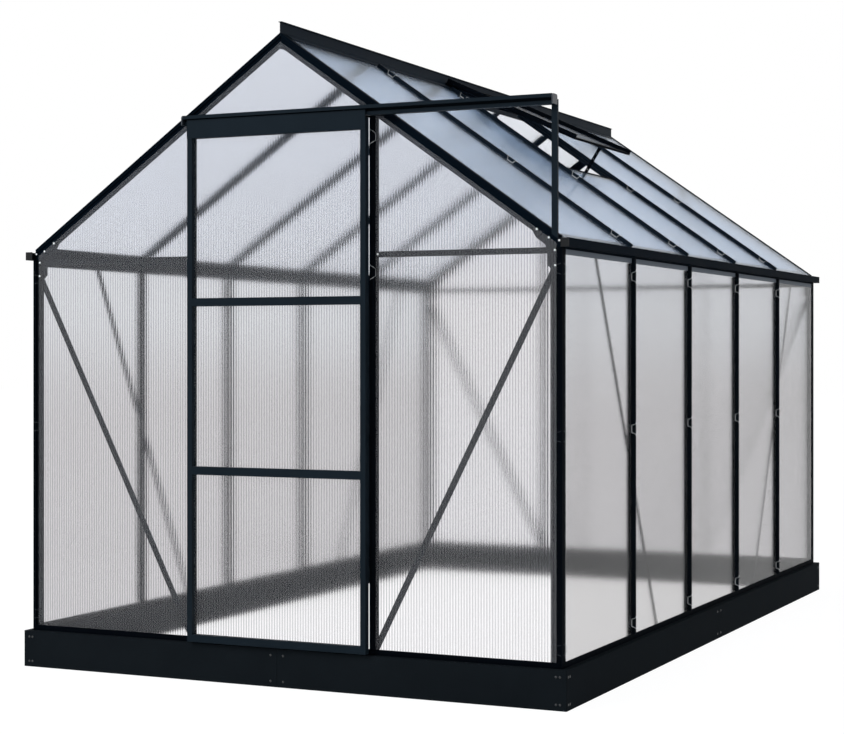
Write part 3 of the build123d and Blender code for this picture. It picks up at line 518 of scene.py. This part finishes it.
outs = rows_of(np.concatenate([toward_y, toward_x]), len(CLIP_HEIGHTS))
corner_clips = wires("corner_clips", hook, places, acrosses, rows_of(Z, len(places)), outs, CORNER_WIRE)
shaded_steel = bare("shaded wire steel", (0.10, 0.11, 0.12), roughness=0.5)
corner_clips.data.materials.append(shaded_steel)

# The bolts of the gables: small domed heads of bare steel. They hold the gussets, the ends of the
# rails beside the jambs, and the feet of the posts and jambs to the sills. Their places on the right
# half are given across and up.
DOME_SIDES = 8
DOME_ANGLES = np.radians([0, 35, 70])
GABLE_BOLT_RADIUS = 0.0036
GABLE_BOLT_HEIGHT = 0.0022
GUSSET_BOLTS = [[0.868, 1.4188], [0.9061, 1.393], [0.9253, 1.3553], [0.926, 1.3104], [0.9392, 1.3838]]
SILL_BOLTS = [[0.925, 0.1281], [0.3422, 0.1322]]
RAIL_BOLTS = [[0.3422, 1.356]]


def domes(name, places, outs, radius, height):
    """Domed bolt heads on an eight-sided foot.

    Each ring stands at its angle a: radius times cos a wide and height times sin a high, for
    a of 0, 35 and 70 degrees, and the last ring is closed flat."""
    help_axis = np.where(np.abs(outs[:, 2:]) > 0.9, X[None], Z[None])
    first = np.cross(outs, help_axis)
    first /= np.linalg.norm(first, axis=1)[:, None]
    second = np.cross(outs, first)
    turn = np.arange(DOME_SIDES) * 2 * np.pi / DOME_SIDES
    wide = (radius * np.cos(DOME_ANGLES))[None, :, None, None]
    high = (height * np.sin(DOME_ANGLES))[None, :, None, None]
    spin = (first[:, None, None] * np.cos(turn)[None, None, :, None]
            + second[:, None, None] * np.sin(turn)[None, None, :, None])
    points = places[:, None, None] + wide * spin + high * outs[:, None, None]
    ring = np.arange(DOME_SIDES)
    after = (ring + 1) % DOME_SIDES
    sides = np.concatenate([np.stack([foot + ring, foot + after, foot + DOME_SIDES + after,
                                      foot + DOME_SIDES + ring], 1) for foot in (0, DOME_SIDES)])
    heads = DOME_SIDES * len(DOME_ANGLES) * np.arange(len(places))
    quads = (sides[None] + heads[:, None, None]).reshape(-1, 4)
    tops = 2 * DOME_SIDES + ring[None] + heads[:, None]
    return on_house(name, points, quads.tolist() + tops.tolist())


plate_bolts = np.array(GUSSET_BOLTS + SILL_BOLTS + RAIL_BOLTS)
right = np.stack([plate_bolts[:, 0], np.full(len(plate_bolts), front_face), plate_bolts[:, 1]], 1)
front = both_sides(right)
rear = front * [1, 0, 1] + [0, rear_face, 0]
outs = np.concatenate([rows_of(-Y, len(front)), rows_of(Y, len(rear))])
gable_bolts = domes("gable_bolts", np.concatenate([front, rear]), outs, GABLE_BOLT_RADIUS,
                    GABLE_BOLT_HEIGHT)
bolt_steel = bare("bolt steel", (0.86, 0.87, 0.88), roughness=0.3)
gable_bolts.data.materials.append(bolt_steel)

# The bolts of the plinth: domed heads with a dark coat, in pairs one above the other. They hold the
# plates behind the seams in the middle of each side, and the angles in the corners.
PLINTH_BOLT_RADIUS = 0.0042
PLINTH_BOLT_HEIGHT = 0.002
PLINTH_BOLT_LEVELS = (0.100, 0.0185)
GABLE_SEAM = 0.0225
SIDE_SEAM = 0.0205
GABLE_CORNER = (0.9379, 0.9504)
SIDE_CORNER_INSETS = (0.014, 0.027)
side_low, side_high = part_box("base_right")
front_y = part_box("base_front")[0][1]
gable_spots = (-GABLE_SEAM, GABLE_SEAM, *GABLE_CORNER, *[-x for x in GABLE_CORNER])
front = np.array([[x, front_y, z] for x in gable_spots for z in PLINTH_BOLT_LEVELS])
rear = front * [1, 0, 1] + [0, side_high[1], 0]
middle = (side_low[1] + side_high[1]) / 2
outer, inner = SIDE_CORNER_INSETS
side_spots = (side_low[1] + outer, side_low[1] + inner, middle - SIDE_SEAM, middle + SIDE_SEAM,
              side_high[1] - inner, side_high[1] - outer)
right = np.array([[side_high[0], y, z] for y in side_spots for z in PLINTH_BOLT_LEVELS])
places = np.concatenate([front, rear, both_sides(right)])
outs = np.concatenate([rows_of(-Y, len(front)), rows_of(Y, len(rear)),
                       both_sides(rows_of(X, len(right)))])
base_bolts = domes("base_bolts", places, outs, PLINTH_BOLT_RADIUS, PLINTH_BOLT_HEIGHT)
bolt_coat = coated("bolt coat", (0.012, 0.014, 0.016), roughness=0.35, gloss=1.5)
base_bolts.data.materials.append(bolt_coat)
